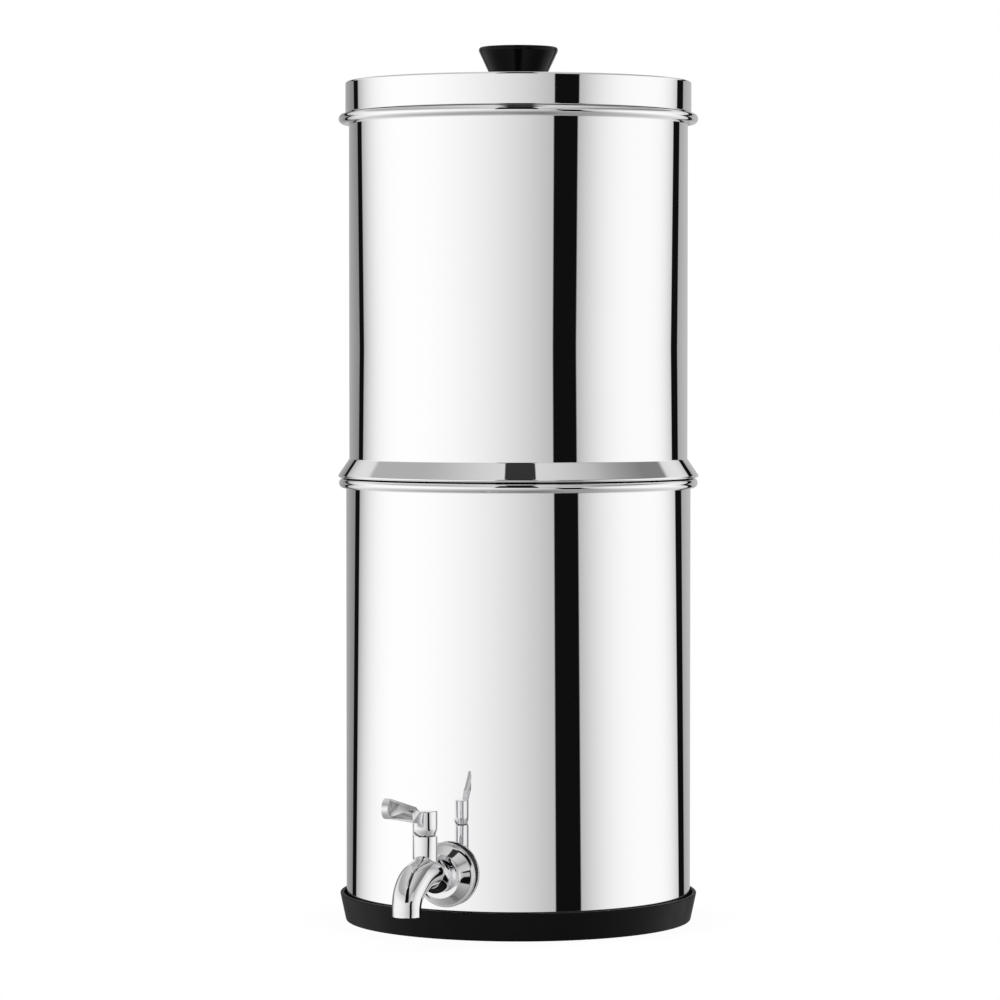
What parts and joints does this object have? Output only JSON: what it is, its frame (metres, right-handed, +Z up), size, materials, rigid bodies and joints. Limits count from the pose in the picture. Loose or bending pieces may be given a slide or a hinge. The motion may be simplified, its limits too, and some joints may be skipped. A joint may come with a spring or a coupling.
{
  "type": "gravity water filter",
  "caption": "Gravity water filter of two stacked polished steel chambers with a lid, black knob, rubber base ring and a lever tap.",
  "frame": {"origin": "on the chambers' axis, at the foot of the base ring, where the filter stands", "axes": "+Z up along the chambers' axis, -Y forwards along the tap, +X to the right side seen from the front turned by the right-hand rule"},
  "size_m": [0.226, 0.3126, 0.5469],
  "materials": {
    "polished_steel": "mirror-polished stainless steel sheet",
    "black_knob": "glossy black phenolic",
    "fastener_steel": "plain stainless steel",
    "black_rubber": "satin black rubber",
    "tap_chrome": "bright chrome plating on brass",
    "seal_rubber": "matte black rubber",
    "tap_brass": "turned brass",
    "seal_silicone": "translucent white silicone",
    "spring_steel": "stainless spring wire",
    "filter_carbon": "pressed carbon block",
    "filter_cap": "moulded black plastic"
  },
  "bodies": {
    "lower_unit": {"lower_chamber": "polished_steel", "base_ring": "black_rubber", "tap_body": "tap_chrome", "tap_escutcheon": "tap_chrome", "tap_gasket_outer": "seal_rubber", "tap_gasket_inner": "seal_rubber", "tap_nut": "fastener_steel", "stem_gland": "tap_brass", "stem_oring": "seal_rubber", "valve_spring": "spring_steel"},
    "upper_unit": {"upper_chamber": "polished_steel", "filter_block_left": "filter_carbon", "filter_block_right": "filter_carbon", "filter_base_left": "filter_cap", "filter_base_right": "filter_cap", "filter_washer_left": "seal_rubber", "filter_washer_right": "seal_rubber", "filter_nut_left": "filter_cap", "filter_nut_right": "filter_cap", "blank_plug_front": "filter_cap", "blank_plug_rear": "filter_cap", "plug_washer_front": "seal_rubber", "plug_washer_rear": "seal_rubber", "plug_nut_front": "filter_cap", "plug_nut_rear": "filter_cap"},
    "lid_unit": {"lid": "polished_steel", "lid_knob": "black_knob", "knob_screw": "fastener_steel", "knob_washer": "fastener_steel"},
    "valve_plunger": {"valve_disc": "seal_silicone", "spring_washer": "fastener_steel"},
    "lever_unit": {"tap_lever": "tap_chrome", "lever_pin": "fastener_steel", "valve_stem": "tap_brass"}
  },
  "joints": [
    {"name": "upper_lift", "type": "slide", "parent": "lower_unit", "child": "upper_unit", "axis": [0, 0, 1], "range_m": [0, 0.12]},
    {"name": "lid_lift", "type": "slide", "parent": "upper_unit", "child": "lid_unit", "axis": [0, 0, 1], "range_m": [0, 0.1]},
    {"name": "valve_lift", "type": "slide", "parent": "lower_unit", "child": "valve_plunger", "axis": [0, 0, 1], "range_m": [0, 0.005], "deforming": ["valve_spring"]},
    {"name": "lever_turn", "type": "hinge", "parent": "valve_plunger", "child": "lever_unit", "pos_m": [0, -0.1417, 0.0669], "axis": [0, 0, 1], "range_deg": [0, 80]}
  ],
  "couplings": [
    {"joint": "valve_lift", "follows": "lever_turn", "m_per_rad": 0.003581}
  ]
}
